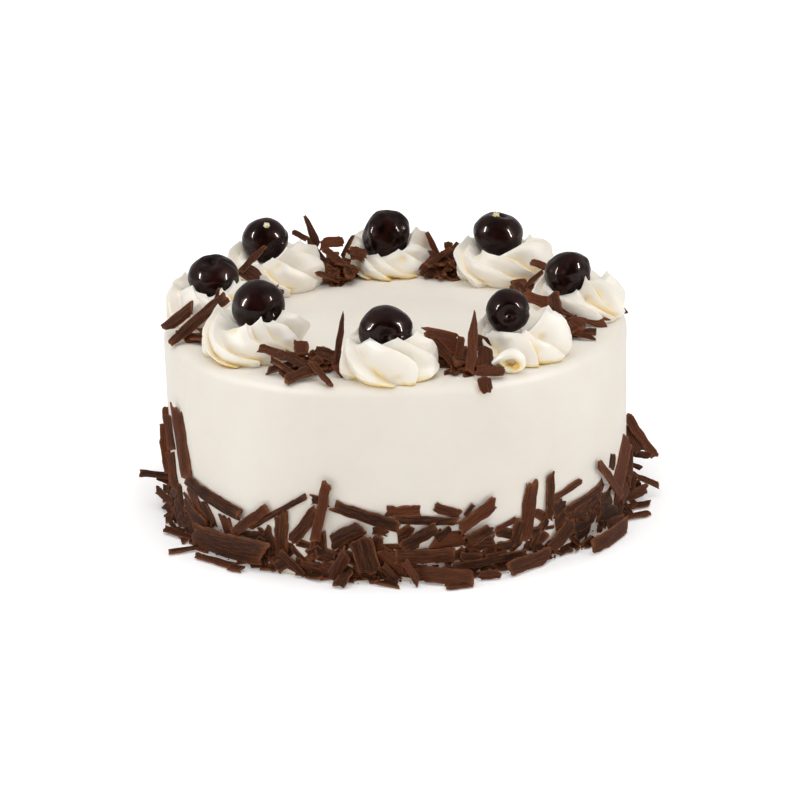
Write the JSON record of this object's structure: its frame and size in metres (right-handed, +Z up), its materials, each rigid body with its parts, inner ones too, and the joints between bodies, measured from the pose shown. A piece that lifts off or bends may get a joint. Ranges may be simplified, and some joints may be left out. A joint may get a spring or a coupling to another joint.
{
  "type": "black forest cake",
  "caption": "Round whipped-cream cake with piped rosettes, dark cherries and chocolate shavings on top and round the foot.",
  "frame": {"origin": "middle of the flat underside", "axes": "+Z up, -Y towards the front of the cake as pictured, +X to its right"},
  "size_m": [0.2362, 0.2294, 0.1186],
  "materials": {
    "cream": "smooth whipped cream, soft satin",
    "piped_cream": "piped whipped cream, soft satin",
    "cherry": "wet dark cherry skin, very glossy",
    "chocolate": "dark chocolate, satin with fine grain"
  },
  "bodies": {
    "root": {"cake": "cream", "rosette_front": "piped_cream", "cherry_front": "cherry", "rosette_front_right": "piped_cream", "cherry_front_right": "cherry", "rosette_right": "piped_cream", "cherry_right": "cherry", "rosette_back_right": "piped_cream", "cherry_back_right": "cherry", "rosette_back": "piped_cream", "cherry_back": "cherry", "rosette_back_left": "piped_cream", "cherry_back_left": "cherry", "rosette_left": "piped_cream", "cherry_left": "cherry", "rosette_front_left": "piped_cream", "cherry_front_left": "cherry", "chocolate_1": "chocolate", "chocolate_2": "chocolate", "chocolate_3": "chocolate", "chocolate_4": "chocolate", "chocolate_5": "chocolate", "chocolate_6": "chocolate", "chocolate_7": "chocolate", "chocolate_8": "chocolate"}
  },
  "joints": []
}
